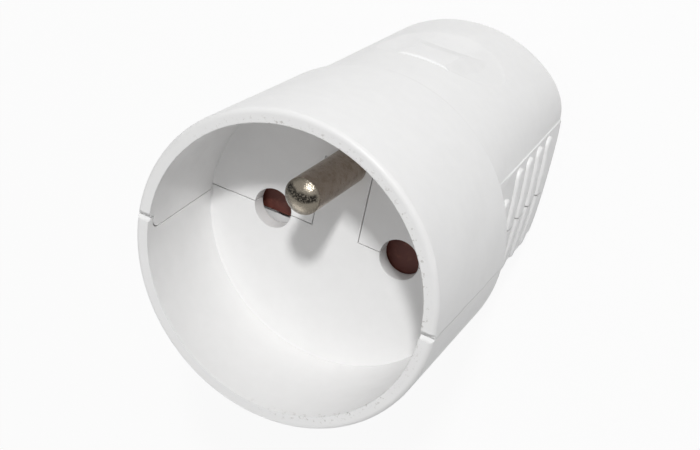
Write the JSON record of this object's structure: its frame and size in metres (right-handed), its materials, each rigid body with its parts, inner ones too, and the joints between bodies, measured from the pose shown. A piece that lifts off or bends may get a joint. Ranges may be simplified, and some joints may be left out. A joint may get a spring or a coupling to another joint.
{
  "type": "inline socket connector",
  "caption": "Round inline power socket with an earth pin in its cup, shuttered contact holes, ribbed side grips and a cord inlet behind.",
  "frame": {"origin": "centre of the flat rear end, on which the connector stands", "axes": "+Z along the axis out of the cup's mouth, +Y from the axis towards the earth pin, +X along the line of the two contact holes"},
  "size_m": [0.042, 0.042, 0.06],
  "materials": {
    "white_plastic": "moulded white plastic with a fine satin skin",
    "nickel_plate": "nickel-plated brass, slightly dull",
    "brass": "bare brass",
    "steel": "zinc-plated steel",
    "brown_plastic": "dark red-brown plastic"
  },
  "bodies": {
    "housing": {"upper_shell": "white_plastic", "lower_shell": "white_plastic", "earth_pin": "nickel_plate", "earth_terminal": "brass", "earth_terminal_screw": "steel", "left_contact": "brass", "right_contact": "brass", "left_terminal": "brass", "right_terminal": "brass", "left_terminal_screw": "steel", "right_terminal_screw": "steel", "shutter_pivot": "steel", "shutter_spring": "steel", "cord_clamp": "white_plastic", "cord_clamp_screws": "steel", "housing_screws": "steel"},
    "shutter": {"shutter": "brown_plastic"}
  },
  "joints": [
    {"name": "shutter_turn", "type": "hinge", "parent": "housing", "child": "shutter", "pos_m": [0, 0, 0.0413], "axis": [0, 0, -1], "range_deg": [0, 30], "stiffness_Nm_per_rad": 0.002, "springref_deg": -28.65, "deforming": ["shutter_spring"]}
  ]
}
